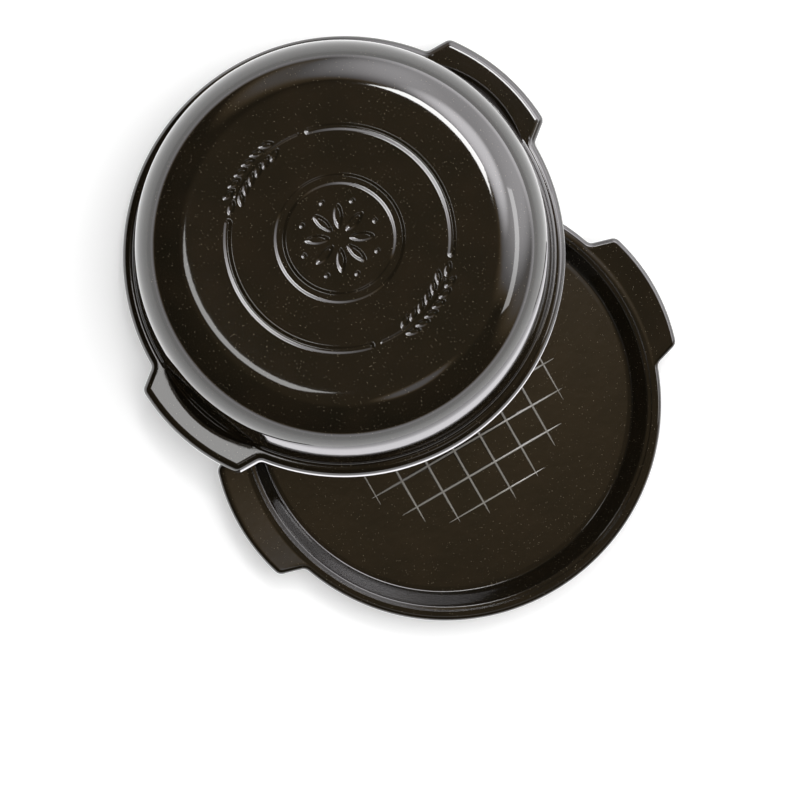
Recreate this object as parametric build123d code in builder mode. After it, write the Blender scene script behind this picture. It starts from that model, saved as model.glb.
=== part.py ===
from build123d import *
import math
import os

os.makedirs("parts", exist_ok=True)

# Clear space between the two pieces, and between the leaning lid and the table
seat_gap = 0.3
# How far a cutting shape runs past the surface that it opens
overrun = 5.0

# Ears, cast in one with the rim of each piece, seen from above
ear_corner_angle = 15.0
ear_root_angle = 18.8
ear_crown = 1.2
ear_corner_round = 6.0
ear_root_round = 5.5

# Base: a shallow dish with its ears along X and the origin under its middle
base_height = 32.0
base_radius = 145.0
base_ear_length = 16.5
base_rim_depth = 14.0
base_rim_round = 3.2
base_ear_under_round = 4.0

# Stepped inner edge of the base's rim, from the crest inwards
bevel_width = 3.5
bevel_drop = 1.0
step_width = 0.4
step_drop = 0.8
ledge_width = 2.6
ledge_drop = 0.4
inner_edge_round = 1.0

# Inside and floor of the base
base_wall_run = 7.3
floor_height = 7.0
floor_edge_round = 1.6

# Square grid of low ridges on the floor, level on top
ridge_pitch = 20.45
ridge_lines = 10
ridge_width = 2.2
ridge_height = 1.2
ridge_field_radius = 97.0
ridge_end_margin = 2.0
ridge_root = 1.5

# Underside of the base: a ring foot round a shallow recess, and a bowl that flares to the rim
rim_overhang = 5.0
bowl_flare = 12.0
foot_width = 7.0
foot_recess = 1.5
foot_edge_round = 2.5

# Lid: a deep bowl upside down, with a band and ears round its mouth
lid_height = 108.0
lid_radius = 147.5
lid_ear_length = 15.0
band_height = 22.0
band_round = 4.0
lid_foot_round = 4.0
lid_shelf_width = 7.5
dome_draft = 6.0
dome_shoulder = 35.0
dome_wall = 8.0
lid_mouth_round = 2.5

# Thumb pockets between the ears' tops and the dome
pocket_width = 6.0
pocket_half_angle = 18.0
pocket_depth = 6.0
pocket_section_radius = 9.0

# Round-bottomed grooves in the lid's flat top: two arcs beside the ears and a ring
arc_radius = 72.4
arc_width = 5.4
arc_depth = 0.6
ring_radius = 38.5
ring_width = 8.0
ring_depth = 0.6

# An ear of wheat between the arcs on each side: a stalk groove between two rows of grains, with
# places given by their way along the arcs' circle from the middle of the ear
stalk_width = 1.8
stalk_depth = 0.5
stalk_tail = 34.1
stalk_head = 24.0
arc_clearance = 7.6
grain_length = 10.5
grain_width = 4.3
grain_depth = 0.8
grain_pairs = 6
grain_step = 7.6
first_grain_back = 13.9
grain_splay = 24.0
grain_side = 4.2
tip_grain_ahead = 31.6

# Rosette in the ring: petals cut like the grains, and a row of round dots outside them
petal_count = 8
petal_length = 17.0
petal_width = 6.2
petal_depth = 0.8
petal_place_radius = 14.5
dot_width = 3.2
dot_depth = 0.6
dot_place_radius = 25.5

# Where the lid lies when it leans on the base's rim, and which way its ears point
lid_offset = 121.0
lid_heading = 94.8
lid_ear_heading = 19.0


def polar(radius, angle):
    return (radius * math.cos(math.radians(angle)), radius * math.sin(math.radians(angle)))


# Radius of the round cutter that leaves a groove of this width and depth
def cutter_radius(width, depth):
    return ((width / 2) ** 2 + depth**2) / (2 * depth)


# The upright half plane through the lid's axis at this angle
def upright_plane(angle):
    out_x, out_y = polar(1, angle)
    return Plane(origin=(0, 0, 0), x_dir=(out_x, out_y, 0), z_dir=(out_y, -out_x, 0))


# The rim seen from above: a circle with an ear on each side, corners and roots rounded
def eared_outline(rim_radius, ear_reach):
    corner_radius = ear_reach - ear_crown
    halfway = (rim_radius + corner_radius) / 2
    with BuildSketch() as outline:
        Circle(rim_radius)
        for turn in (0, 180):
            with BuildLine():
                ThreePointArc(
                    polar(corner_radius, turn - ear_corner_angle),
                    polar(ear_reach, turn),
                    polar(corner_radius, turn + ear_corner_angle),
                )
                Polyline(
                    polar(corner_radius, turn + ear_corner_angle),
                    polar(rim_radius, turn + ear_root_angle),
                    (0, 0),
                    polar(rim_radius, turn - ear_root_angle),
                    polar(corner_radius, turn - ear_corner_angle),
                )
            make_face()
        fillet(outline.vertices().filter_by(lambda v: v.center().length > halfway), ear_corner_round)
        fillet(outline.vertices().filter_by(lambda v: v.center().length < halfway), ear_root_round)
    return outline.sketch


# Heights and radii of the base's section
crest_radius = base_radius - base_rim_round
bevel_foot_radius = crest_radius - bevel_width
ledge_radius = bevel_foot_radius - step_width
inner_edge_radius = ledge_radius - ledge_width
floor_edge_radius = inner_edge_radius - base_wall_run
bevel_foot_height = base_height - bevel_drop
ledge_height = bevel_foot_height - step_drop
inner_edge_height = ledge_height - ledge_drop
rim_under_height = base_height - base_rim_depth
bowl_shoulder_radius = base_radius - rim_overhang
foot_outer_radius = bowl_shoulder_radius - bowl_flare
floor_curve = cutter_radius(2 * ridge_field_radius, ridge_height)


# The floor is dished so that the ridges' level tops run out on the ridge field's edge
def floor_level(radius):
    return floor_height + floor_curve - math.sqrt(floor_curve**2 - radius**2)


base_outline = eared_outline(base_radius, base_radius + base_ear_length)

with BuildPart() as base:
    # Rim with its ears
    with BuildSketch(Plane.XY.offset(rim_under_height)):
        add(base_outline)
    extrude(amount=base_rim_depth)
    fillet(base.edges().group_by(Axis.Z)[-1], base_rim_round)
    fillet(base.edges().group_by(Axis.Z)[0], base_ear_under_round)

    # Bowl under the rim
    with BuildSketch(Plane.XZ) as bowl:
        with BuildLine():
            Polyline(
                (0, 0),
                (foot_outer_radius, 0),
                (bowl_shoulder_radius, rim_under_height),
                (bowl_shoulder_radius, ledge_height),
                (0, ledge_height),
                (0, 0),
            )
        make_face()
        fillet(bowl.vertices().sort_by_distance((foot_outer_radius, 0, 0))[0], foot_edge_round)
    revolve(axis=Axis.Z)

    # Hollow inside, down the stepped rim and the sloping wall to the dished floor
    with BuildSketch(Plane.XZ) as hollow:
        with BuildLine():
            Polyline(
                (0, base_height + overrun),
                (crest_radius, base_height + overrun),
                (crest_radius, base_height),
                (bevel_foot_radius, bevel_foot_height),
                (ledge_radius, ledge_height),
                (inner_edge_radius, inner_edge_height),
                (floor_edge_radius, floor_level(floor_edge_radius)),
            )
            ThreePointArc(
                (floor_edge_radius, floor_level(floor_edge_radius)),
                (floor_edge_radius / 2, floor_level(floor_edge_radius / 2)),
                (0, floor_height),
            )
            Line((0, floor_height), (0, base_height + overrun))
        make_face()
        inner_edge = hollow.vertices().sort_by_distance((inner_edge_radius, inner_edge_height, 0))[0]
        fillet(inner_edge, inner_edge_round)
        floor_edge = (floor_edge_radius, floor_level(floor_edge_radius), 0)
        fillet(hollow.vertices().sort_by_distance(floor_edge)[0], floor_edge_round)
    revolve(axis=Axis.Z, mode=Mode.SUBTRACT)

    # Recess inside the ring foot
    with BuildSketch(Plane.XY):
        Circle(foot_outer_radius - foot_width)
    extrude(amount=foot_recess, mode=Mode.SUBTRACT)

    # Ridges both ways across the floor, clipped to a round field
    with BuildSketch(Plane.XY.offset(floor_height - ridge_root)):
        with GridLocations(0, ridge_pitch, 1, ridge_lines):
            Rectangle(2 * ridge_field_radius, ridge_width)
        with GridLocations(ridge_pitch, 0, ridge_lines, 1):
            Rectangle(ridge_width, 2 * ridge_field_radius)
        Circle(ridge_field_radius - ridge_end_margin, mode=Mode.INTERSECT)
    extrude(amount=ridge_root + ridge_height)

base.part.label = "base"
export_step(base.part, "parts/base.step")


# The dome's wall leans in to the shoulder's arc, which runs on into the flat top
dome_foot_radius = lid_radius - lid_shelf_width
draft_slope = math.tan(math.radians(dome_draft))
shoulder_height = lid_height - dome_shoulder
wall_end_height = shoulder_height + dome_shoulder * math.sin(math.radians(dome_draft))
wall_end_radius = dome_foot_radius - (wall_end_height - band_height) * draft_slope
flat_radius = wall_end_radius - dome_shoulder * math.cos(math.radians(dome_draft))


# Outline of the dome's section, the given distance inside its outer face
def dome_section(inset, bottom):
    arc_size = dome_shoulder - inset
    arc_start = (
        flat_radius + arc_size * math.cos(math.radians(dome_draft)),
        shoulder_height + arc_size * math.sin(math.radians(dome_draft)),
    )
    arc_middle_angle = (90 + dome_draft) / 2
    arc_middle = (
        flat_radius + arc_size * math.cos(math.radians(arc_middle_angle)),
        shoulder_height + arc_size * math.sin(math.radians(arc_middle_angle)),
    )
    top = shoulder_height + arc_size
    bottom_radius = arc_start[0] + (arc_start[1] - bottom) * draft_slope
    with BuildSketch() as section:
        with BuildLine():
            Polyline((0, bottom), (bottom_radius, bottom), arc_start)
            ThreePointArc(arc_start, arc_middle, (flat_radius, top))
            Polyline((flat_radius, top), (0, top), (0, bottom))
        make_face()
    return section.sketch


dome_outside = dome_section(0, 0)
dome_inside = dome_section(dome_wall, 0)
lid_mouth_radius = dome_inside.bounding_box().max.X
lid_outline = eared_outline(lid_radius, lid_radius + lid_ear_length)

# Each pocket's outer edge is an arc that meets the dome at the pocket's two ends
pocket_reach = dome_foot_radius + pocket_width
pocket_end_x = polar(dome_foot_radius, pocket_half_angle)[0]
pocket_centre = (pocket_reach**2 - dome_foot_radius**2) / (2 * (pocket_reach - pocket_end_x))
pocket_rise = pocket_section_radius - pocket_depth
pocket_level = band_height + pocket_rise
pocket_edge = math.sqrt(pocket_section_radius**2 - pocket_rise**2)
pocket_sweep = pocket_reach - pocket_centre - pocket_edge

arc_cutter = cutter_radius(arc_width, arc_depth)
ring_cutter = cutter_radius(ring_width, ring_depth)
stalk_cutter = cutter_radius(stalk_width, stalk_depth)
dot_cutter = cutter_radius(dot_width, dot_depth)

# Grains and petals are the dents that a ring on edge leaves: round across, and curved along
grain_across = cutter_radius(grain_width, grain_depth)
grain_along = cutter_radius(grain_length, grain_depth)
grain_level = lid_height + grain_along - grain_depth
petal_across = cutter_radius(petal_width, petal_depth)
petal_along = cutter_radius(petal_length, petal_depth)
petal_level = lid_height + petal_along - petal_depth
on_edge = (90, 0, 0)


# Angle that a length along the arcs' circle takes up round the lid's axis
def arc_angle(length):
    return math.degrees(length / arc_radius)


arc_half_angle = 90 - arc_angle(stalk_tail + arc_clearance)


# Places of one wheat ear's grains: pairs that splay from the stalk, and one at the tip
def grain_places(middle):
    places = []
    for pair in range(grain_pairs):
        angle = middle + arc_angle(pair * grain_step - first_grain_back)
        for way in (-1, 1):
            x, y = polar(arc_radius + way * grain_side, angle)
            places.append(Location((x, y, grain_level), (0, 0, angle + 90 - way * grain_splay)))
    tip_angle = middle + arc_angle(tip_grain_ahead)
    x, y = polar(arc_radius, tip_angle)
    places.append(Location((x, y, grain_level), (0, 0, tip_angle + 90)))
    return places


# Centres of the two ends of a groove along an arc, where its cutter is a ball
def groove_ends(start, end, level):
    return [(*polar(arc_radius, start), level), (*polar(arc_radius, end), level)]


with BuildPart() as lid:
    # Band with its ears
    with BuildSketch(Plane.XY):
        add(lid_outline)
    extrude(amount=band_height)
    fillet(lid.edges().group_by(Axis.Z)[-1], band_round)
    fillet(lid.edges().group_by(Axis.Z)[0], lid_foot_round)

    # Thumb pockets, cut before the dome closes their inner side
    with Locations((pocket_centre, 0, pocket_level), (-pocket_centre, 0, pocket_level)):
        Torus(pocket_sweep, pocket_section_radius, mode=Mode.SUBTRACT)

    # Dome and its inside
    with BuildSketch(Plane.XZ):
        add(dome_outside)
    revolve(axis=Axis.Z)
    with BuildSketch(Plane.XZ):
        add(dome_inside)
    revolve(axis=Axis.Z, mode=Mode.SUBTRACT)
    mouth = lid.edges().group_by(Axis.Z)[0].sort_by(SortBy.LENGTH)[-1]
    fillet(mouth, lid_mouth_round)

    # Grooves in the flat top
    for ear in (0, 180):
        arc_level = lid_height + arc_cutter - arc_depth
        with BuildSketch(upright_plane(ear - arc_half_angle)):
            with Locations((arc_radius, arc_level)):
                Circle(arc_cutter)
        revolve(axis=Axis.Z, revolution_arc=2 * arc_half_angle, mode=Mode.SUBTRACT)
        with Locations(*groove_ends(ear - arc_half_angle, ear + arc_half_angle, arc_level)):
            Sphere(arc_cutter, mode=Mode.SUBTRACT)
    with Locations((0, 0, lid_height + ring_cutter - ring_depth)):
        Torus(ring_radius, ring_cutter, mode=Mode.SUBTRACT)

    # Wheat ears between the arcs
    for middle in (90, 270):
        stalk_level = lid_height + stalk_cutter - stalk_depth
        with BuildSketch(upright_plane(middle - arc_angle(stalk_tail))):
            with Locations((arc_radius, stalk_level)):
                Circle(stalk_cutter)
        revolve(axis=Axis.Z, revolution_arc=arc_angle(stalk_tail + stalk_head), mode=Mode.SUBTRACT)
        with Locations(*grain_places(middle)):
            Torus(grain_along - grain_across, grain_across, rotation=on_edge, mode=Mode.SUBTRACT)

    # Rosette in the ring
    for turn in range(petal_count):
        petal_angle = turn * 360 / petal_count
        x, y = polar(petal_place_radius, petal_angle)
        with Locations(Location((x, y, petal_level), (0, 0, petal_angle))):
            Torus(petal_along - petal_across, petal_across, rotation=on_edge, mode=Mode.SUBTRACT)
        x, y = polar(dot_place_radius, petal_angle + 180 / petal_count)
        with Locations((x, y, lid_height + dot_cutter - dot_depth)):
            Sphere(dot_cutter, mode=Mode.SUBTRACT)

# The lid leans: the far side of its foot is on the table and its mouth's flat edge lies on the
# base's crest, where the two circles cross
seat_radius = lid_mouth_radius + lid_mouth_round
chord_distance = (lid_offset**2 + seat_radius**2 - crest_radius**2) / (2 * lid_offset)
foot_radius = lid_radius - lid_foot_round
lean = math.asin(base_height / (foot_radius + chord_distance))
foot_lift = seat_gap + foot_radius * math.sin(lean) + lid_foot_round * (1 - math.cos(lean))
away_x, away_y = polar(1, lid_heading)
lid_seat = Plane(
    origin=(lid_offset * away_x, lid_offset * away_y, foot_lift),
    x_dir=(away_x * math.cos(lean), away_y * math.cos(lean), -math.sin(lean)),
    z_dir=(away_x * math.sin(lean), away_y * math.sin(lean), math.cos(lean)),
)
ear_turn = Location((0, 0, 0), (0, 0, lid_ear_heading - lid_heading))

lid.part.locate(lid_seat.location * ear_turn)
lid.part.label = "lid"
export_step(lid.part, "parts/lid.step")

print("lean", round(math.degrees(lean), 3), "lid's foot lift", round(foot_lift, 3))
print("mouth radius", round(lid_mouth_radius, 3), "flat top radius", round(flat_radius, 3))
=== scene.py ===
import math

import bpy
import numpy as np
from mathutils import Matrix, Vector


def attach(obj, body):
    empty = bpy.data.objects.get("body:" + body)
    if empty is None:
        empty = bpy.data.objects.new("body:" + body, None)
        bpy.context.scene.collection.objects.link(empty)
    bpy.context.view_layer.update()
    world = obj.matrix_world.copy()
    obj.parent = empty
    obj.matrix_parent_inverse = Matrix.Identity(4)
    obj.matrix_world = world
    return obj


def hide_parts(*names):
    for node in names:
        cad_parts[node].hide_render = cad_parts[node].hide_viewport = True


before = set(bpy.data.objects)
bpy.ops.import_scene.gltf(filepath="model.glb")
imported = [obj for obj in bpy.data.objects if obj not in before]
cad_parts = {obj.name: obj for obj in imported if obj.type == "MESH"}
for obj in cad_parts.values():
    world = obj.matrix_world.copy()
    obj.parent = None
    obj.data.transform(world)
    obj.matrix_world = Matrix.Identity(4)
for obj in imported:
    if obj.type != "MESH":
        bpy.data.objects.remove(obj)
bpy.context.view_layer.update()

mm = 0.001
fullTurn = 2 * math.pi
plainWhite = (1, 1, 1, 1)


def say(stage):
    print("bread cloche:", stage)


def addPiece(name, data):
    piece = bpy.data.objects.new(name, data)
    bpy.context.scene.collection.objects.link(piece)
    return piece


def placed(x, y, z, origin):
    # the matrix that has these three directions as its axes
    turn = Matrix((x, y, z)).transposed().to_4x4()
    turn.translation = origin
    return turn


def easeIn(t):
    t = np.clip(t, 0, 1)
    return t * t * (3 - 2 * t)


# Nodes: a value is a number, a colour, a vector or the output of another node

def clearedTree(owner):
    owner.use_nodes = True
    owner.node_tree.nodes.clear()
    return owner.node_tree


def feed(tree, value, socket):
    if isinstance(value, bpy.types.NodeSocket):
        tree.links.new(value, socket)
    else:
        socket.default_value = value


def wired(tree, kind, *values):
    # a new node with its first inputs filled in their order
    made = tree.nodes.new(kind)
    for value, socket in zip(values, made.inputs):
        feed(tree, value, socket)
    return made.outputs[0]


def maths(tree, operation, *values, clamp=False):
    made = tree.nodes.new("ShaderNodeMath")
    made.operation, made.use_clamp = operation, clamp
    for value, socket in zip(values, made.inputs):
        feed(tree, value, socket)
    return made.outputs[0]


def measured(tree, operation, first, second):
    made = tree.nodes.new("ShaderNodeVectorMath")
    made.operation = operation
    feed(tree, first, made.inputs[0])
    feed(tree, second, made.inputs[1])
    return made.outputs["Value"]


def alongAxis(tree, vector, axis):
    made = tree.nodes.new("ShaderNodeSeparateXYZ")
    tree.links.new(vector, made.inputs[0])
    return made.outputs[axis]


def mixColours(tree, share, first, second):
    made = tree.nodes.new("ShaderNodeMix")
    made.data_type = "RGBA"
    for value, number in ((share, 0), (first, 6), (second, 7)):
        feed(tree, value, made.inputs[number])
    return made.outputs[2]


def easedRange(tree, value, start, end, low=0, high=1):
    made = tree.nodes.new("ShaderNodeMapRange")
    made.interpolation_type = "SMOOTHSTEP"
    names = ("Value", "From Min", "From Max", "To Min", "To Max")
    for name, given in zip(names, (value, start, end, low, high)):
        feed(tree, given, made.inputs[name])
    return made.outputs[0]


# Building a round casting from rings of points, all in millimetres

def zipRings(first, second, firstAngles, secondAngles):
    # triangles between two rings that don't have the same number of points
    faces = []
    i = j = 0
    n, m = len(first), len(second)
    a = np.append(firstAngles, fullTurn)
    b = np.append(secondAngles, fullTurn)
    while i < n or j < m:
        if j == m or (i < n and a[i + 1] <= b[j + 1]):
            faces.append((first[i], first[(i + 1) % n], second[j % m]))
            i += 1
        else:
            faces.append((first[i % n], second[(j + 1) % m], second[j]))
            j += 1
    return faces


def ringAngles(ring):
    angles = np.mod(np.arctan2(ring[:, 1], ring[:, 0]), fullTurn)
    angles[0] = 0
    return angles


def facesOutward(points, faces, tested=4000):
    # by the sign of the volume that they close, from about that many of them
    volume = 0.0
    middle = points.mean(0)
    for face in faces[:: max(1, len(faces) // tested)]:
        p, q, r = (points[k] for k in face[:3])
        volume += np.dot(p - middle, np.cross(q - p, r - p))
    return volume >= 0


def loftRings(name, rings, place=None):
    # rings run anticlockwise from the +X side, and a ring of one point is a pole
    starts = np.cumsum([0] + [len(ring) for ring in rings])
    points = np.vstack(rings)
    faces = []
    for k in range(len(rings) - 1):
        first = list(range(starts[k], starts[k + 1]))
        second = list(range(starts[k + 1], starts[k + 2]))
        n, m = len(first), len(second)
        if m == 1:
            faces += [(first[i], first[(i + 1) % n], second[0]) for i in range(n)]
        elif n == 1:
            faces += [(first[0], second[(j + 1) % m], second[j]) for j in range(m)]
        elif n == m:
            faces += [(first[i], first[(i + 1) % n], second[(i + 1) % n], second[i])
                      for i in range(n)]
        else:
            faces += zipRings(first, second, ringAngles(rings[k]), ringAngles(rings[k + 1]))
    if not facesOutward(points, faces):
        faces = [tuple(reversed(face)) for face in faces]
    if place is not None:
        points = points @ np.array(place.to_3x3()).T + np.array(place.translation) / mm
    mesh = bpy.data.meshes.new(name)
    mesh.from_pydata((points * mm).tolist(), [], faces)
    mesh.validate()
    mesh.polygons.foreach_set("use_smooth", [True] * len(mesh.polygons))
    mesh.update()
    return addPiece(name, mesh)


def circleRing(radius, height, angles):
    radius = np.broadcast_to(radius, angles.shape)
    height = np.broadcast_to(height, angles.shape)
    return np.column_stack([radius * np.cos(angles), radius * np.sin(angles), height])


def evenAngles(count):
    return np.arange(count) * fullTurn / count


def pole(height):
    return np.array([[0.0, 0.0, height]])


def roundedLine(corners, steps=5):
    # (radius, height, rounding) corners of a section, with an arc at each rounded one
    line = []
    for k, (r, z, rounding) in enumerate(corners):
        p = np.array([r, z], float)
        if rounding == 0 or k in (0, len(corners) - 1):
            line.append(p)
            continue
        back = np.array(corners[k - 1][:2], float) - p
        ahead = np.array(corners[k + 1][:2], float) - p
        back /= np.linalg.norm(back)
        ahead /= np.linalg.norm(ahead)
        half = math.acos(np.clip(back @ ahead, -1, 1)) / 2
        middle = (back + ahead) / np.linalg.norm(back + ahead)
        centre = p + middle * rounding / math.sin(half)
        start = p + back * rounding / math.tan(half) - centre
        end = p + ahead * rounding / math.tan(half) - centre
        turn = math.copysign(math.pi - 2 * half, start[0] * end[1] - start[1] * end[0])
        for s in range(steps + 1):
            c, q = math.cos(turn * s / steps), math.sin(turn * s / steps)
            line.append(centre + (c * start[0] - q * start[1], q * start[0] + c * start[1]))
    return np.array(line)


def splitLine(line, longest):
    # more points on a section wherever two lie further apart than this
    out = [line[0]]
    for p, q in zip(line[:-1], line[1:]):
        parts = max(1, math.ceil(np.linalg.norm(q - p) / longest))
        out += [p + (q - p) * (s + 1) / parts for s in range(parts)]
    return np.array(out)


# Outline of a rim with its two ears, the same kind on both castings

ears = {
    "cornerAngle": 15.0,      # half of what an ear's crown spans, degrees
    "rootAngle": 18.8,        # where its side meets the rim
    "crown": 1.2,
    "cornerRound": 6.0,
    "rootRound": 5.5,
    "points": (20, 10, 4, 9, 53),  # crown, corner, side, root and rim, for a quarter turn
}


def headingOf(v):
    return math.atan2(v[1], v[0])


def arcPoints(centre, size, first, last, count, outward=1):
    turn = first + (last - first) * np.arange(count) / count
    normals = np.column_stack([np.cos(turn), np.sin(turn)])
    return centre + normals * size, normals * outward


def earedOutline(rimRadius, reach):
    cornerRound, rootRound = ears["cornerRound"], ears["rootRound"]
    cornerTurn, rootTurn = math.radians(ears["cornerAngle"]), math.radians(ears["rootAngle"])
    corner = reach - ears["crown"]
    crownX = (reach ** 2 - corner ** 2) / (2 * (reach - corner * math.cos(cornerTurn)))
    crownCentre, crownSize = np.array([crownX, 0.0]), reach - crownX
    a = corner * np.array([math.cos(cornerTurn), math.sin(cornerTurn)])
    b = rimRadius * np.array([math.cos(rootTurn), math.sin(rootTurn)])
    along = (b - a) / np.linalg.norm(b - a)
    inner = np.array([along[1], -along[0]])
    if inner[1] > 0:
        inner = -inner

    def crossings(start, centre, size):
        # both points where a line along the ear's side meets a circle
        d = start - centre
        half = along @ d
        root = math.sqrt(half ** 2 - (d @ d - size ** 2))
        return [start + along * (way - half) for way in (-root, root)]

    cornerCentre = min(crossings(a + inner * cornerRound, crownCentre, crownSize - cornerRound),
                       key=lambda centre: abs((centre - a) @ along))
    rootCentre = min(crossings(a - inner * rootRound, np.zeros(2), rimRadius + rootRound),
                     key=lambda centre: np.linalg.norm(centre - b))
    sideStart, sideEnd = cornerCentre - inner * cornerRound, rootCentre + inner * rootRound
    crownEnd, rootEnd = headingOf(cornerCentre - crownCentre), headingOf(-rootCentre)
    rootSweep = math.remainder(rootEnd - headingOf(inner), fullTurn)
    onCrown, onCorner, onSide, onRoot, onRim = ears["points"]
    share = np.arange(onSide)[:, None] / onSide
    parts = [
        arcPoints(crownCentre, crownSize, 0, crownEnd, onCrown),
        arcPoints(cornerCentre, cornerRound, crownEnd, headingOf(-inner), onCorner),
        (sideStart + (sideEnd - sideStart) * share, np.tile(-inner, (onSide, 1))),
        arcPoints(rootCentre, rootRound, rootEnd - rootSweep, rootEnd, onRoot, -1),
        arcPoints(np.zeros(2), rimRadius, headingOf(rootCentre), math.pi / 2, onRim),
    ]
    outline = []
    for which, last in ((0, rimRadius), (1, 1.0)):
        quarter = np.vstack([part[which] for part in parts] + [[[0.0, last]]])
        half = np.vstack([quarter, (quarter * (-1.0, 1.0))[-2::-1]])
        outline.append(np.vstack([half, -half[1:-1]]))
    return outline


def offsetRing(outline, inward, height):
    points, normals = outline
    return np.column_stack([points - normals * inward, np.full(len(points), height)])


def betweenRings(first, second, shares):
    return [first + (second - first) * s for s in shares]


def quarterTurn(steps):
    return [s / steps * math.pi / 2 for s in range(steps + 1)]


def roundedUnder(outline, size, level, steps=8):
    # rings out and up round an edge, from its flat underside
    return [offsetRing(outline, size * (1 - math.sin(t)), level + size * (1 - math.cos(t)))
            for t in quarterTurn(steps)]


def roundedOver(outline, size, level, steps=10):
    # rings up and in round an edge, on to its flat top
    return [offsetRing(outline, size * (1 - math.cos(t)), level - size * (1 - math.sin(t)))
            for t in quarterTurn(steps)]


# Base: the dish

dish = {
    "height": 32.0,
    "radius": 145.0,
    "earLength": 16.5,
    "rimDepth": 14.0,
    "rimRound": 3.2,
    "underRound": 4.0,
    "bevel": (3.5, 0.35),     # width and drop, most of it filled by the glaze
    "bevelRound": 0.35,
    "bevelStart": 0.3,
    "step": (0.4, 0.8),
    "stepRound": 0.3,
    "ledge": (2.6, 0.4),
    "innerRound": 1.0,
    "wallRun": 7.3,
    "floor": 7.0,
    "floorRound": 1.6,
    "floorStart": 4.0,
    "floorRings": (10.0, 6.0, 15),  # in from the wall's foot, last radius, count
    "fieldRadius": 97.0,
    "ridgeHeight": 1.2,
    "rimOverhang": 5.0,
    "bowlFlare": 12.0,
    "bowlRound": 1.2,
    "underStart": 0.9,
    "footWidth": 7.0,
    "footDraft": 0.1,
    "footRound": 2.5,
    "recess": 1.5,
    "recessRound": 0.6,
    "recessStart": 20.0,
    "longest": (25.0, 4.0),   # between points of the section, underneath and on top
}


def floorLevel(radius):
    curve = (dish["fieldRadius"] ** 2 + dish["ridgeHeight"] ** 2) / (2 * dish["ridgeHeight"])
    return dish["floor"] + curve - np.sqrt(curve ** 2 - radius ** 2)


def buildDish():
    d = dish
    outline = earedOutline(d["radius"], d["radius"] + d["earLength"])
    angles = ringAngles(outline[0])

    # underneath, from the middle out
    top, under = d["height"], d["height"] - d["rimDepth"]
    shoulder = d["radius"] - d["rimOverhang"]
    foot = shoulder - d["bowlFlare"]
    recessRadius = foot - d["footWidth"]
    below = roundedLine([
        (d["recessStart"], d["recess"], 0),
        (recessRadius, d["recess"], d["recessRound"]),
        (recessRadius + d["footDraft"], 0, d["recessRound"]),
        (foot, 0, d["footRound"]),
        (shoulder, under, d["bowlRound"]),
        (shoulder + d["underStart"], under, 0),
    ])
    rings = [pole(d["recess"])]
    rings += [circleRing(r, z, angles) for r, z in splitLine(below, d["longest"][0])]
    underEdge = offsetRing(outline, d["underRound"], under)
    rings += betweenRings(rings[-1], underEdge, (0.25, 0.5, 0.75))

    # round the rim and its ears
    rings += roundedUnder(outline, d["underRound"], under)
    rings.append(offsetRing(outline, 0, (under + top) / 2))
    rings += roundedOver(outline, d["rimRound"], top)

    # bevel, step, wall and floor, back to the middle
    crest = d["radius"] - d["rimRound"]
    bevelFoot = crest - d["bevel"][0]
    ledge = bevelFoot - d["step"][0]
    inner = ledge - d["ledge"][0]
    wallFoot = inner - d["wallRun"]
    floorEdge = wallFoot - d["floorStart"]
    level = top - d["bevel"][1]
    ledgeLevel = level - d["step"][1]
    section = roundedLine([
        (crest - d["bevelStart"], top - d["bevelStart"] * d["bevel"][1] / d["bevel"][0], 0),
        (bevelFoot, level, d["bevelRound"]),
        (ledge, ledgeLevel, d["stepRound"]),
        (inner, ledgeLevel - d["ledge"][1], d["innerRound"]),
        (wallFoot, floorLevel(wallFoot), d["floorRound"]),
        (floorEdge, floorLevel(floorEdge), 0),
    ])
    crestRing = circleRing(*section[0], angles)
    rings += betweenRings(rings[-1], crestRing, (0.12, 0.35, 0.65, 0.9))
    rings += [circleRing(r, z, angles) for r, z in splitLine(section, d["longest"][1])]
    gap, last, count = d["floorRings"]
    rings += [circleRing(r, floorLevel(r), angles) for r in np.linspace(wallFoot - gap, last, count)]
    rings.append(pole(d["floor"]))
    return loftRings("dish", rings)


# Ridges on the dish's floor: a Geometry Nodes grid of one strip

ridge = {
    "pitch": 20.45,
    "lines": 10,
    "halfWidth": 1.9,
    "bellPoints": 19,
    "sunk": 1.0,
    "endOverrun": 3.0,
    "glazedDown": 0.7,        # share of a ridge's height that still shows through the glaze
    "paintedCrownHighlight": (0.28, 0.265, 0.24, 1),   # painted highlight on a ridge's crown
    "highlightFrom": 0.5,          # shares of what shows of the height
    "highlightBy": 0.95,
}
glazedHeight = dish["ridgeHeight"] * ridge["glazedDown"]


def buildStrip():
    # one ridge of unit half length, its section a bell that runs out on the floor
    wide, low = ridge["halfWidth"], dish["floor"] - ridge["sunk"]
    across = np.linspace(-1, 1, ridge["bellPoints"])
    bell = dish["floor"] + glazedHeight * (1 - easeIn(np.abs(across)))
    section = [*zip(wide * across, bell), (wide, low), (-wide, low)]
    n = len(section)
    faces = [(n + i, n + (i + 1) % n, (i + 1) % n, i) for i in range(n)]
    faces += [tuple(range(n)), tuple(range(2 * n - 1, n - 1, -1))]
    mesh = bpy.data.meshes.new("ridgeStrip")
    mesh.from_pydata([(x, y * mm, z * mm) for x in (-1, 1) for y, z in section], [], faces)
    for polygon in mesh.polygons:
        polygon.use_smooth = polygon.index < n - 3
    mesh.update()
    return mesh


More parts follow.
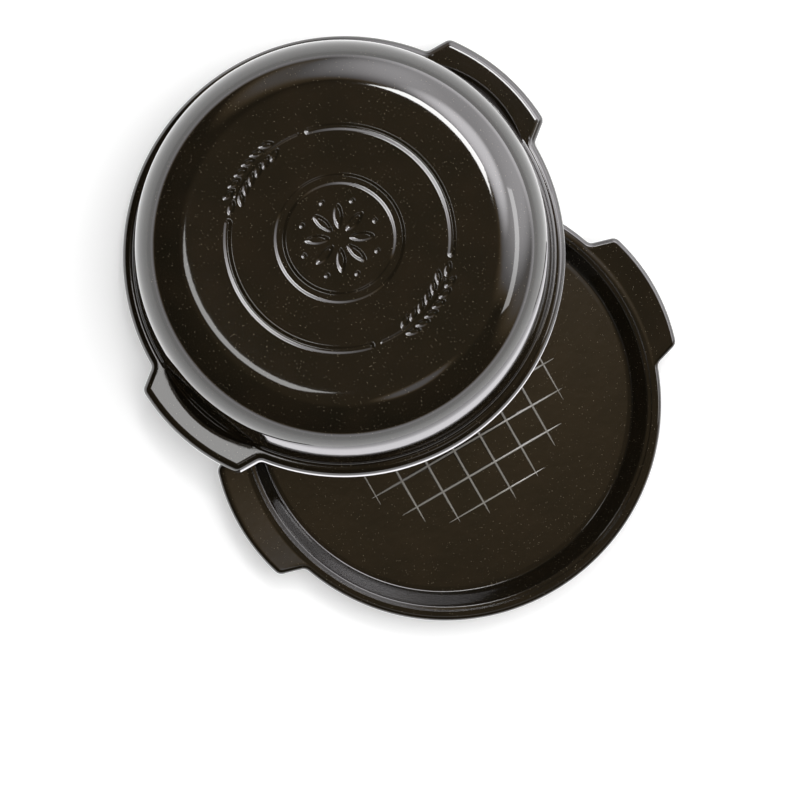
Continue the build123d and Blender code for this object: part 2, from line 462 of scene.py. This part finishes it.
def ridgeTree(material):
    tree = bpy.data.node_groups.new("ridgeGrid", "GeometryNodeTree")
    for name, kind in (("Geometry", "Geometry"), ("Pitch", "Float"), ("Lines", "Int"),
                       ("Field Radius", "Float"), ("End Overrun", "Float")):
        tree.interface.new_socket(name, in_out="INPUT", socket_type="NodeSocket" + kind)
    tree.interface.new_socket("Geometry", in_out="OUTPUT", socket_type="NodeSocketGeometry")
    node, link = tree.nodes.new, tree.links.new
    given = node("NodeGroupInput").outputs

    # a line of points across the field, its middle at the dish's
    line = node("GeometryNodeMeshLine")
    steps = maths(tree, "SUBTRACT", given["Lines"], 1)
    start = maths(tree, "MULTIPLY", maths(tree, "MULTIPLY", steps, -0.5), given["Pitch"])
    link(given["Lines"], line.inputs["Count"])
    link(wired(tree, "ShaderNodeCombineXYZ", 0, start, 0), line.inputs["Start Location"])
    link(wired(tree, "ShaderNodeCombineXYZ", 0, given["Pitch"], 0), line.inputs["Offset"])

    # a strip at each, as long as the field's chord there
    y = alongAxis(tree, node("GeometryNodeInputPosition").outputs[0], "Y")
    fieldSquare = maths(tree, "MULTIPLY", given["Field Radius"], given["Field Radius"])
    chordSquare = maths(tree, "SUBTRACT", fieldSquare, maths(tree, "MULTIPLY", y, y))
    reach = maths(tree, "ADD", maths(tree, "SQRT", chordSquare), given["End Overrun"])
    strips = node("GeometryNodeInstanceOnPoints")
    link(line.outputs["Mesh"], strips.inputs["Points"])
    link(given["Geometry"], strips.inputs["Instance"])
    link(wired(tree, "ShaderNodeCombineXYZ", reach, 1, 1), strips.inputs["Scale"])

    # and the same set once more, a quarter turn round
    turned, both = node("GeometryNodeTransform"), node("GeometryNodeJoinGeometry")
    turned.inputs["Rotation"].default_value = (0, 0, math.pi / 2)
    link(strips.outputs["Instances"], turned.inputs["Geometry"])
    link(strips.outputs["Instances"], both.inputs[0])
    link(turned.outputs["Geometry"], both.inputs[0])
    real, paint = node("GeometryNodeRealizeInstances"), node("GeometryNodeSetMaterial")
    link(both.outputs[0], real.inputs[0])
    link(real.outputs[0], paint.inputs["Geometry"])
    paint.inputs["Material"].default_value = material
    link(paint.outputs[0], node("NodeGroupOutput").inputs[0])
    return tree


def buildRidges(material):
    piece = addPiece("ridges", buildStrip())
    nodes = piece.modifiers.new("ridgeGrid", "NODES")
    nodes.node_group = ridgeTree(material)
    sizes = {"Pitch": ridge["pitch"] * mm, "Lines": ridge["lines"],
             "Field Radius": dish["fieldRadius"] * mm, "End Overrun": ridge["endOverrun"] * mm}
    for item in nodes.node_group.interface.items_tree:
        if item.in_out == "INPUT" and item.name in sizes:
            nodes[item.identifier] = sizes[item.name]
    graph = bpy.context.evaluated_depsgraph_get()
    plain = bpy.data.meshes.new_from_object(piece.evaluated_get(graph))
    piece.modifiers.clear()
    piece.data = plain
    plain.name = "ridges"
    return piece


# Lid: the deep cover, in its own frame until it is placed

cover = {
    "height": 108.0,
    "radius": 147.5,
    "earLength": 15.0,
    "bandHeight": 22.0,
    "bandRound": 5.0,
    "footRound": 4.0,
    "shelfWidth": 7.5,
    "draft": 6.0,             # degrees
    "shoulder": 35.0,
    "wall": 8.0,
    "mouthRound": 2.5,
    "mouthFlat": 0.8,
    "softEdge": 4.0,          # how far from the flat top's edge the bend eases in
    "softFade": (1.2, 0.9),   # radians along the shoulder, where it is made up and over how long
    "flare": 2.0,             # concave run-out of the dome's foot on the band
    "flareGap": 0.25,         # plain band that is left outside it
    "levelBy": 32.0,          # height where the rings run level again above the pockets
    "pocketFlare": 1.8,
    "pocketWidth": 6.0,
    "pocketHalfAngle": 18.0,
    "pocketDepth": 6.0,
    "pocketSection": 9.0,
    "pocketSoft": 0.12,       # square mm, how soft a pocket's edge is
    "pocketGap": 0.7,
    "pocketFade": 0.8,
    "rimGap": 0.12,
}
draft = math.radians(cover["draft"])
slope = math.tan(draft)
domeFoot = cover["radius"] - cover["shelfWidth"]
shoulderLevel = cover["height"] - cover["shoulder"]
wallEnd = shoulderLevel + cover["shoulder"] * math.sin(draft)
flat = domeFoot - (wallEnd - cover["bandHeight"]) * slope - cover["shoulder"] * math.cos(draft)
insideRound = cover["shoulder"] - cover["wall"]
mouth = (flat + insideRound * math.cos(draft)
         + (shoulderLevel + insideRound * math.sin(draft)) * slope)


def wallRadius(height):
    return domeFoot + (cover["bandHeight"] - height) * slope


def insideShoulder(steps):
    return [(flat + insideRound * math.cos(t), shoulderLevel + insideRound * math.sin(t))
            for t in np.linspace(draft, math.pi / 2, steps + 1)]


def softShoulder(steps):
    # from the wall's end up: the curve starts on the flat top already, and picks up the arc's bend
    # a little way on
    soft, size = cover["softEdge"], cover["shoulder"]
    drop = soft ** 2 / (6 * size)
    until, over = cover["softFade"]
    onArc = np.linspace(size * (math.pi / 2 - draft), soft, steps)[:-1]
    line = []
    for way in np.append(onArc, np.linspace(soft, -soft, 15)):
        turn = way / size
        if way >= soft:
            lag = drop * easeIn((until - turn) / over)
            line.append((flat + size * math.sin(turn), shoulderLevel + size * math.cos(turn) - lag))
        else:
            line.append((flat + way, cover["height"] - (way + soft) ** 3 / (12 * soft * size)))
    return line


# Its thumb pockets, each the sweep of a round cutter between an ear's top and the dome's foot

pocketReach = domeFoot + cover["pocketWidth"]
pocketEnd = domeFoot * math.cos(math.radians(cover["pocketHalfAngle"]))
pocketCentre = (pocketReach ** 2 - domeFoot ** 2) / (2 * (pocketReach - pocketEnd))
pocketRise = cover["pocketSection"] - cover["pocketDepth"]
pocketHalf = math.sqrt(cover["pocketSection"] ** 2 - pocketRise ** 2)


def pocketDepth(radius, angle):
    x, y = np.abs(radius * np.cos(angle)), radius * np.sin(angle)
    away = np.hypot(x - pocketCentre, y) - (pocketReach - pocketCentre - pocketHalf)
    within = np.sqrt(np.clip(cover["pocketSection"] ** 2 - away ** 2, 0, None)) - pocketRise
    signed = np.where(away > pocketHalf, (pocketHalf - away) * pocketHalf / pocketRise, within)
    return 0.5 * (signed + np.sqrt(signed ** 2 + cover["pocketSoft"]))


def pocketEdge(angles):
    # how far out a pocket reaches in each direction, and 0 where there is none
    size = pocketReach - pocketCentre
    side = np.abs(np.sin(angles)) * pocketCentre
    edge = np.abs(np.cos(angles)) * pocketCentre + np.sqrt(np.clip(size ** 2 - side ** 2, 0, None))
    return np.where(side < size, edge, 0)


def shelfRings(lastBand, angles):
    # across the band's top, into the pockets, and up the flare on to the dome's wall
    c = cover
    edge = pocketEdge(angles)
    plainStart = domeFoot + c["flare"] + c["flareGap"]
    inner = plainStart - c["pocketFade"]
    share = easeIn((edge - inner) / (pocketReach - inner))
    flareSize = c["flare"] + (c["pocketFlare"] - c["flare"]) * share
    start = np.minimum(np.maximum(edge + c["pocketGap"], plainStart),
                       np.hypot(*lastBand[:, :2].T) - c["rimGap"])

    def cutRing(radius):
        return circleRing(radius, c["bandHeight"] - pocketDepth(radius, angles), angles)

    def wallRing(beyond, lift):
        # a way out from the dome's wall, whose radius hangs on the height that it meets
        height = np.full(len(angles), c["bandHeight"])
        for _ in range(6):
            radius = wallRadius(height) + beyond
            height = c["bandHeight"] - pocketDepth(radius, angles) + lift
        return circleRing(radius, height, angles)

    outer = cutRing(start)
    rings = betweenRings(lastBand, outer, (0.1, 0.3, 0.55, 0.8))
    for ring in rings:
        radius, angle = np.hypot(*ring[:, :2].T), np.arctan2(ring[:, 1], ring[:, 0])
        ring[:, 2] = c["bandHeight"] - pocketDepth(radius, angle)
    rings.append(outer)
    flareStart = np.hypot(*wallRing(flareSize, 0)[:, :2].T)
    rings += [cutRing(start + (flareStart - start) * s) for s in (0.12, 0.24, 0.36, 0.5, 0.66, 0.83)]
    rings += [wallRing(flareSize * (1 - math.sin(t)), flareSize * (1 - math.cos(t)))
              for t in np.linspace(0, math.pi / 2 - draft, 9)]
    return rings


# Its relief: two arcs, a ring, two ears of wheat and a rosette, all grooves

relief = {
    "arcRadius": 72.4,
    "arcWidth": 5.4,
    "arcDepth": 0.6,
    "arcClearance": 7.6,
    "edgeRun": 2.2,           # width of a groove's sloping side
    "ringRadius": 38.5,
    "ringWidth": 8.0,
    "ringDepth": 0.6,
    "stalkWidth": 1.8,
    "stalkDepth": 0.5,
    "stalkTail": 34.1,
    "stalkHead": 24.0,
    "grainLength": 10.5,
    "grainWidth": 4.3,
    "grainDepth": 0.6,
    "grainPairs": 6,
    "grainStep": 7.6,
    "firstGrainBack": 13.9,
    "grainSplay": 24.0,
    "grainSide": 4.2,
    "tipGrainAhead": 31.6,
    "petals": 8,
    "petalLength": 17.0,
    "petalWidth": 6.2,
    "petalDepth": 0.6,
    "petalRadius": 14.5,
    "dotLength": 3.2,
    "dotWidth": 3.2,
    "dotDepth": 0.4,
    "dotRadius": 25.5,
    "leafTaper": 0.5,         # how much a grain or petal narrows to its ends
    "leafRun": 0.75,          # share of it that slopes
}


def arcDistance(x, y, radius, middle, halfAngle):
    # how far a point lies from a stroke along part of a circle
    turn = np.mod(np.arctan2(y, x) - middle + math.pi, fullTurn) - math.pi
    end = middle + np.clip(turn, -halfAngle, halfAngle)
    return np.hypot(x - radius * np.cos(end), y - radius * np.sin(end))


def reliefDepth(x, y):
    r = relief
    perMm = 1 / r["arcRadius"]
    cuts = [np.zeros_like(x)]

    def stroke(kind, distance, run):
        cuts.append(r[kind + "Depth"] * easeIn((r[kind + "Width"] / 2 - distance) / run))

    def leaf(kind, radius, angle, heading):
        dx, dy = x - radius * math.cos(angle), y - radius * math.sin(angle)
        u = (dx * math.cos(heading) + dy * math.sin(heading)) / (r[kind + "Length"] / 2)
        v = (dy * math.cos(heading) - dx * math.sin(heading)) / (r[kind + "Width"] / 2)
        inside = 1 - u * u - v * v * (1 + r["leafTaper"] * u * u)
        cuts.append(r[kind + "Depth"] * easeIn(inside / r["leafRun"]))

    halfAngle = math.pi / 2 - (r["stalkTail"] + r["arcClearance"]) * perMm
    for middle in (0, math.pi):
        stroke("arc", arcDistance(x, y, r["arcRadius"], middle, halfAngle), r["edgeRun"])
    stroke("ring", np.abs(np.hypot(x, y) - r["ringRadius"]), r["edgeRun"])
    grains = [(pair * r["grainStep"] - r["firstGrainBack"], way)
              for pair in range(r["grainPairs"]) for way in (-1, 1)] + [(r["tipGrainAhead"], 0)]
    for middle in (math.pi / 2, -math.pi / 2):
        stalkMiddle = middle + (r["stalkHead"] - r["stalkTail"]) / 2 * perMm
        stalkHalf = (r["stalkHead"] + r["stalkTail"]) / 2 * perMm
        stalk = arcDistance(x, y, r["arcRadius"], stalkMiddle, stalkHalf)
        stroke("stalk", stalk, r["stalkWidth"] / 2)
        for ahead, way in grains:
            angle = middle + ahead * perMm
            heading = angle + math.pi / 2 - way * math.radians(r["grainSplay"])
            leaf("grain", r["arcRadius"] + way * r["grainSide"], angle, heading)
    for k in range(r["petals"]):
        angle = k * fullTurn / r["petals"]
        leaf("petal", r["petalRadius"], angle, angle)
        angle += math.pi / r["petals"]
        leaf("dot", r["dotRadius"], angle, angle)
    return np.maximum.reduce(cuts)


def buildCover(place):
    c = cover
    outline = earedOutline(c["radius"], c["radius"] + c["earLength"])
    angles, coarse = ringAngles(outline[0]), evenAngles(224)

    # inside, from its middle down to the mouth
    ceiling, low = c["height"] - c["wall"], 14
    mouthLine = roundedLine([
        (mouth - low * slope, low, 0),
        (mouth, 0, c["mouthRound"]),
        (mouth + c["mouthRound"] + c["mouthFlat"], 0, 0),
    ], 6)
    rings = [pole(ceiling)]
    rings += [circleRing(r, ceiling, coarse) for r in (12, 35, 60, 82)]
    rings += [circleRing(r, z, coarse) for r, z in reversed(insideShoulder(12))]
    rings += [circleRing(mouth - z * slope, z, coarse) for z in (60, 44, 28)]
    rings += [circleRing(r, z, angles) for r, z in mouthLine]

    # foot, band and its ears
    rings += betweenRings(rings[-1], offsetRing(outline, c["footRound"], 0), (0.35, 0.7))
    rings += roundedUnder(outline, c["footRound"], 0)
    rings.append(offsetRing(outline, 0, c["bandHeight"] / 2))
    rings += roundedOver(outline, c["bandRound"], c["bandHeight"])
    rings += shelfRings(rings[-1], angles)

    # dome's wall and shoulder
    start = rings[-1][:, 2]
    levels = [start + (c["levelBy"] - start) * s for s in (0.15, 0.35, 0.6, 0.8, 1.0)]
    levels += list(np.linspace(c["levelBy"], wallEnd, 8)[1:-1])
    rings += [circleRing(wallRadius(z), z, angles) for z in levels]
    rings += [circleRing(r, z, angles) for r, z in softShoulder(22)]

    # flat top, with close rings where the relief is
    fine, middling = evenAngles(768), evenAngles(384)
    for radii, around in ((np.array([92.0, 88, 84]), angles),
                          (np.arange(82.4, 62.6, -0.55), fine),
                          (np.array([61.0, 57, 52, 47]), middling),
                          (np.arange(43.4, 33.4, -0.42), middling),
                          (np.array([32.2, 30.2]), middling),
                          (np.arange(28.4, 4.5, -0.5), coarse),
                          (np.arange(4.2, 0.5, -0.8), evenAngles(112))):
        for r in radii:
            ring = circleRing(r, c["height"], around)
            ring[:, 2] -= reliefDepth(ring[:, 0], ring[:, 1])
            rings.append(ring)
    rings.append(pole(c["height"]))
    return loftRings("cover", rings, place)


# Where the lid leans on the dish's rim

lean = {
    "gap": 0.3,
    "offset": 121.0,          # from the dish's middle to the middle of the lid's mouth
    "heading": 94.8,
    "earHeading": 19.0,
}


def leanPlace():
    seat = mouth + cover["mouthRound"]
    crest = dish["radius"] - dish["rimRound"]
    chord = (lean["offset"] ** 2 + seat ** 2 - crest ** 2) / (2 * lean["offset"])
    foot = cover["radius"] - cover["footRound"]
    angle = math.asin(dish["height"] / (foot + chord))
    lift = lean["gap"] + foot * math.sin(angle) + cover["footRound"] * (1 - math.cos(angle))
    heading = math.radians(lean["heading"])
    away = Vector((math.cos(heading), math.sin(heading), 0))
    axis = away * math.sin(angle) + Vector((0, 0, math.cos(angle)))
    downhill = away * math.cos(angle) - Vector((0, 0, math.sin(angle)))
    origin = (away * lean["offset"] + Vector((0, 0, lift))) * mm
    turn = Matrix.Rotation(math.radians(lean["earHeading"] - lean["heading"]), 4, "Z")
    say(f"lean {math.degrees(angle):.3f} degrees, mouth radius {mouth:.3f} mm")
    return placed(downhill, axis.cross(downhill), axis, origin) @ turn


# Glaze: near black, a little uneven, with pale specks; lengths in millimetres

glaze = {
    "colour": (0.0098, 0.0077, 0.0046, 1),
    "warmer": (0.0150, 0.0107, 0.0062, 1),
    "cloud": 26.0,            # size of the warmer clouds
    "cloudFrom": 0.35,
    "cloudContrast": 2.2,
    "cloudDetail": 3,
    "speck": (0.26, 0.22, 0.16, 1),
    "speckSpacing": 1.1,
    "speckShare": 0.4,
    "speckRadius": 0.22,      # of the largest
    "speckEdge": 40,
    "roughness": 0.05,
    "ior": 1.7,
    "wave": 7.0,              # the glaze's slow unevenness
    "waveHeight": 0.012,
    "waveDetail": 2,
}


def glazeMaterial(name, crowns=False):
    g = glaze
    material = bpy.data.materials.new(name)
    tree = clearedTree(material)
    node, link = tree.nodes.new, tree.links.new
    shader = node("ShaderNodeBsdfPrincipled")
    link(shader.outputs[0], node("ShaderNodeOutputMaterial").inputs[0])
    shader.inputs["Roughness"].default_value = g["roughness"]
    shader.inputs["IOR"].default_value = g["ior"]
    place = node("ShaderNodeTexCoord").outputs["Object"]

    def noise(size, detail):
        made = node("ShaderNodeTexNoise")
        made.inputs["Scale"].default_value = 1 / (size * mm)
        made.inputs["Detail"].default_value = detail
        link(place, made.inputs["Vector"])
        return made.outputs[0]

    # a speck in some of the cells, larger the higher the cell's own random number
    cells = node("ShaderNodeTexVoronoi")
    cells.inputs["Scale"].default_value = 1 / (g["speckSpacing"] * mm)
    link(place, cells.inputs["Vector"])
    chance = wired(tree, "ShaderNodeSeparateColor", cells.outputs["Color"])
    above = maths(tree, "SUBTRACT", chance, 1 - g["speckShare"])
    growth = g["speckRadius"] / g["speckSpacing"] / g["speckShare"]
    size = maths(tree, "MULTIPLY", above, growth)
    inside = maths(tree, "SUBTRACT", size, cells.outputs["Distance"])
    speck = maths(tree, "MULTIPLY", inside, g["speckEdge"], clamp=True)
    over = maths(tree, "SUBTRACT", noise(g["cloud"], g["cloudDetail"]), g["cloudFrom"])
    cloud = maths(tree, "MULTIPLY", over, g["cloudContrast"], clamp=True)
    colour = mixColours(tree, speck, mixColours(tree, cloud, g["colour"], g["warmer"]), g["speck"])
    # pale crowns on the ridges: a painted highlight, mixed in towards each ridge's top
    if crowns:
        start, end = ((dish["floor"] + glazedHeight * ridge[limit]) * mm
                      for limit in ("highlightFrom", "highlightBy"))
        paintedHighlightShare = easedRange(tree, alongAxis(tree, place, "Z"), start, end)
        colour = mixColours(tree, paintedHighlightShare, colour, ridge["paintedCrownHighlight"])
    link(colour, shader.inputs["Base Color"])

    bump = node("ShaderNodeBump")
    bump.inputs["Strength"].default_value = 1
    bump.inputs["Distance"].default_value = g["waveHeight"] * mm
    link(noise(g["wave"], g["waveDetail"]), bump.inputs["Height"])
    link(bump.outputs[0], shader.inputs["Normal"])
    return material


glazed = glazeMaterial("speckledGlaze")
# glaze for the ridges, with a painted highlight on their crowns
crownHighlightGlazed = glazeMaterial("crownHighlightGlaze", crowns=True)
say("glaze mixed")

# The castings

dishPiece = buildDish()
dishPiece.data.materials.append(glazed)
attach(dishPiece, "base")
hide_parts("base")
say(f"dish lofted, {len(dishPiece.data.polygons)} faces")

ridgePiece = buildRidges(crownHighlightGlazed)
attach(ridgePiece, "base")
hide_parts("base")
say(f"ridges laid, {len(ridgePiece.data.polygons)} faces")

coverPiece = buildCover(leanPlace())
coverPiece.data.materials.append(glazed)
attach(coverPiece, "lid")
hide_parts("lid")
say(f"cover lofted, {len(coverPiece.data.polygons)} faces")

# Camera, straight above and a little to one side

camera = {
    "lens": 167.7,
    "sensor": 36,
    "clip": (0.05, 50),
    "place": (-0.127, 0.231, 2.521),
    "aim": (-0.0258, 0.0198, 0.032),
    "up": (0.4985, 0.8669, 0.0),   # the photograph's upward direction on the table
}


def addCamera():
    data = bpy.data.cameras.new("camera")
    data.lens, data.sensor_width = camera["lens"], camera["sensor"]
    data.clip_start, data.clip_end = camera["clip"]
    piece = addPiece("camera", data)
    ahead = (Vector(camera["aim"]) - Vector(camera["place"])).normalized()
    right = ahead.cross(Vector(camera["up"])).normalized()
    piece.matrix_world = placed(right, right.cross(ahead), -ahead, Vector(camera["place"]))
    bpy.context.scene.camera = piece


addCamera()

# Studio: white table, pale surround, dark above, and lamps

studio = {
    "middle": (-0.026, 0.1, 0.06),
    "tableSize": 9.0,
    "tableColour": (0.9, 0.9, 0.9, 1),
    "whiteFrom": 0.42,        # m from the middle, where the table starts to turn plain white
    "whiteBy": 0.9,
    "farReflected": 0.5,      # added to plain white where the glaze mirrors it
    "tableGlow": 0.3,
    "tableReflected": 0.6,    # added to the glow where the glaze mirrors the table
    "horizonFrom": 0.02,      # height of a direction, where the surround leaves plain white
    "horizonBy": 0.17,
    "horizonReflected": 0.9,  # added to plain white where the glaze mirrors the surround
    "ceiling": 0.01,
    "sky": 0.35,              # even light from all round that fills the shadow
    # soft bright walls: heading from the photograph's right, degrees off vertical, outer and inner
    # reach, brightness
    "walls": [
        (50, 62, 50, 24, 3.0),
        (60, 35, 17, 5, 4.6),
        (12, 74, 42, 15, 0.75),
        (97, 60, 32, 10, 0.7),
        (299, 12, 9, 1, 0.8),
        (76, 4, 27, 17, 0.09),
    ],
    "dimTint": (1.0, 0.72, 0.4, 1),         # what the dim middle of the ceiling looks like
    "brightTint": (0.985, 0.965, 1.0, 1),
    "dimBelow": 0.25,
    "brightAbove": 0.9,
    "energyPerRadiance": 4,   # watts for a lamp of a square metre
    "panelsAbove": (-0.0116, 0.1379, 0.1301),   # the lid's flat top, that the panels are set out from
    "panelHeight": 2.0,
    # name, degrees across and up the photograph off vertical, turn, length and width, radiance
    "panels": [
        ("stripLamp", (2.9, 24.7), -45, (0.50, 0.30), 11.0),
        ("greyBox", (-13.6, 9.3), -49, (0.50, 0.17), 3.2),
    ],
    # the key and a strip box off to the right: heading, degrees off vertical, distance, sizes,
    # radiance
    "key": (35, 12, 1.9, (1.3, 1.3), 3.2),
    "sideStrip": (12, 47, 2.2, (0.36, 1.3), 2.8),
    # white card over the dish, that only reflections see and only from above: the photograph shows
    # the cover's wall as pale on this side as on the others
    "cardRadius": 0.146,
    "cardHeight": 0.0335,
    "cardCorners": 64,
    "cardGlow": 1.5,
}
upward = Vector(camera["up"]).normalized()
rightward = Vector((upward.y, -upward.x, 0))


def towards(heading, tilt):
    # a direction by its heading on the table, from the photograph's right, and its tilt off vertical
    h, t = math.radians(heading), math.radians(tilt)
    level = rightward * math.cos(h) + upward * math.sin(h)
    return level * math.sin(t) + Vector((0, 0, math.cos(t)))


def seenShare(tree, ray):
    # 1 for rays that carry a picture, 0 for those that only gather light
    straight = maths(tree, "ADD", ray["Is Camera Ray"], ray["Is Glossy Ray"])
    return maths(tree, "ADD", straight, ray["Is Transmission Ray"], clamp=True)


def whitened(tree, ray, added):
    # plain white for the camera, and this much more in a reflection
    return maths(tree, "MULTIPLY_ADD", ray["Is Glossy Ray"], added, 1)


def addTable():
    material = bpy.data.materials.new("whiteTable")
    tree = clearedTree(material)
    node, link = tree.nodes.new, tree.links.new
    ray = node("ShaderNodeLightPath").outputs
    seen = seenShare(tree, ray)
    away = measured(tree, "DISTANCE", node("ShaderNodeTexCoord").outputs["Object"],
                    (*studio["middle"][:2], 0))
    far = maths(tree, "MULTIPLY", easedRange(tree, away, studio["whiteFrom"], studio["whiteBy"]), seen)
    glow = maths(tree, "MULTIPLY_ADD", ray["Is Glossy Ray"], studio["tableReflected"],
                 maths(tree, "MULTIPLY", seen, studio["tableGlow"]))
    lifted = wired(tree, "ShaderNodeAddShader",
                   wired(tree, "ShaderNodeBsdfDiffuse", studio["tableColour"]),
                   wired(tree, "ShaderNodeEmission", plainWhite, glow))
    white = wired(tree, "ShaderNodeEmission", plainWhite, whitened(tree, ray, studio["farReflected"]))
    both = wired(tree, "ShaderNodeMixShader", far, lifted, white)
    link(both, node("ShaderNodeOutputMaterial").inputs[0])
    s = studio["tableSize"] / 2
    mesh = bpy.data.meshes.new("table")
    mesh.from_pydata([(-s, -s, 0), (s, -s, 0), (s, s, 0), (-s, s, 0)], [], [(0, 1, 2, 3)])
    mesh.materials.append(material)
    table = addPiece("table", mesh)


def addSurround():
    world = bpy.data.worlds.new("surround")
    bpy.context.scene.world = world
    tree = clearedTree(world)
    node, link = tree.nodes.new, tree.links.new
    place, ray = node("ShaderNodeTexCoord").outputs["Generated"], node("ShaderNodeLightPath").outputs
    total = easedRange(tree, alongAxis(tree, place, "Z"), studio["horizonFrom"], studio["horizonBy"],
                       whitened(tree, ray, studio["horizonReflected"]), studio["ceiling"])
    for heading, tilt, outer, inner, brightness in studio["walls"]:
        toward = measured(tree, "DOT_PRODUCT", place, towards(heading, tilt))
        start, end = (math.cos(math.radians(reach)) for reach in (outer, inner))
        total = maths(tree, "ADD", total, easedRange(tree, toward, start, end, 0, brightness))
    bright = easedRange(tree, total, studio["dimBelow"], studio["brightAbove"])
    tint = mixColours(tree, bright, studio["dimTint"], studio["brightTint"])
    both = wired(tree, "ShaderNodeMixShader", seenShare(tree, ray),
                 wired(tree, "ShaderNodeBackground", plainWhite, studio["sky"]),
                 wired(tree, "ShaderNodeBackground", tint, total))
    link(both, node("ShaderNodeOutputWorld").inputs[0])


def addLamp(name, centre, facing, sizes, radiance):
    data = bpy.data.lights.new(name, "AREA")
    data.shape = "RECTANGLE"
    data.size, data.size_y = sizes
    data.energy = radiance * sizes[0] * sizes[1] * studio["energyPerRadiance"]
    lamp = addPiece(name, data)
    across = facing.cross(upward).normalized()
    lamp.matrix_world = placed(across, across.cross(facing), -facing, centre)
    lamp.visible_camera = False
    return lamp


def addLampTowards(name, heading, tilt, distance, sizes, radiance):
    way = towards(heading, tilt)
    return addLamp(name, Vector(studio["middle"]) + way * distance, -way, sizes, radiance)


def addPanel(name, offVertical, turn, sizes, radiance):
    height = studio["panelHeight"]
    across, up = (math.tan(math.radians(angle)) * height for angle in offVertical)
    centre = Vector(studio["panelsAbove"]) + rightward * across + upward * up + Vector((0, 0, height))
    lamp = addLamp(name, centre, Vector((0, 0, -1)), sizes, radiance)
    lamp.matrix_world = lamp.matrix_world @ Matrix.Rotation(math.radians(turn), 4, "Z")


def addCard():
    material = bpy.data.materials.new("whiteCard")
    tree = clearedTree(material)
    node, link = tree.nodes.new, tree.links.new
    both = wired(tree, "ShaderNodeMixShader", node("ShaderNodeNewGeometry").outputs["Backfacing"],
                 wired(tree, "ShaderNodeEmission", studio["brightTint"], studio["cardGlow"]),
                 wired(tree, "ShaderNodeBsdfTransparent"))
    link(both, node("ShaderNodeOutputMaterial").inputs[0])
    corners = circleRing(studio["cardRadius"], studio["cardHeight"], evenAngles(studio["cardCorners"]))
    mesh = bpy.data.meshes.new("whiteCard")
    mesh.from_pydata(corners.tolist(), [], [tuple(range(len(corners)))])
    mesh.materials.append(material)
    card = addPiece("whiteCard", mesh)
    card.visible_camera = card.visible_diffuse = card.visible_shadow = card.visible_transmission = False


addTable()
addSurround()
# the soft light that casts the shadow is left out of reflections, because the walls show it there
addLampTowards("keyLamp", *studio["key"]).visible_glossy = False
addLampTowards("sideStrip", *studio["sideStrip"])
addCard()
for panel in studio["panels"]:
    addPanel(*panel)
bpy.context.scene.view_settings.view_transform = "Standard"
say("studio lit")
